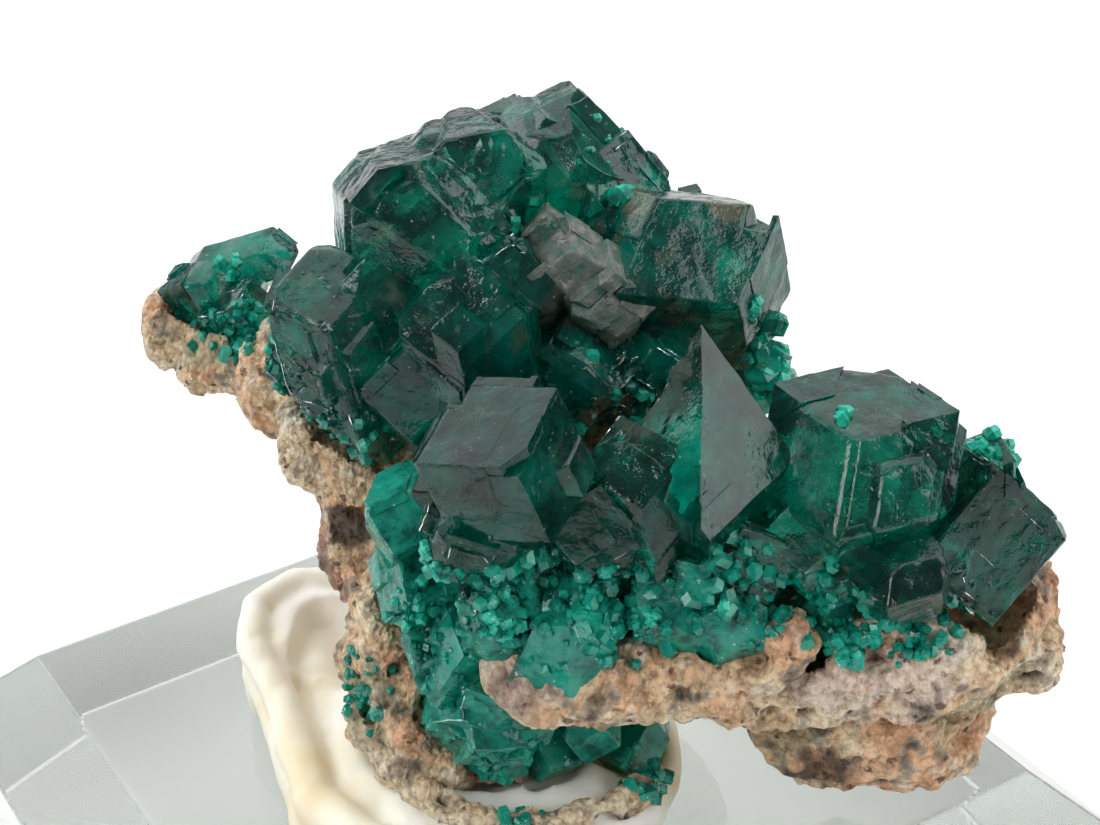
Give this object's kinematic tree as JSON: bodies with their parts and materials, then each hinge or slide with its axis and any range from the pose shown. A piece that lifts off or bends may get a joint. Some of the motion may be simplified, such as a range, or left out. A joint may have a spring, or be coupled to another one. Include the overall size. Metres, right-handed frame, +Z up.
{
  "type": "dioptase mineral specimen on an acrylic base",
  "caption": "Cluster of green dioptase crystals on a ledge of tan matrix, held upright by putty on a clear bevelled acrylic block; a display piece for a shelf or cabinet",
  "frame": {"origin": "centre of the acrylic block's underside", "axes": "+Z up, X and Y along the block's sides; the specimen is turned 30 degrees clockwise on the block, seen from above, so that its display side faces between -Y and -X"},
  "size_m": [0.032, 0.032, 0.0344],
  "materials": {
    "dioptase": "glassy, deep emerald green, see-through at thin edges",
    "matrix": "rough, sugary grains",
    "putty": "matte, hand-pressed",
    "acrylic": "clear, polished"
  },
  "bodies": {
    "root": {"upper_crystals": "dioptase", "front_crystals": "dioptase", "left_crystals": "dioptase", "matrix": "matrix", "putty": "putty", "acrylic_base": "acrylic"}
  },
  "joints": []
}
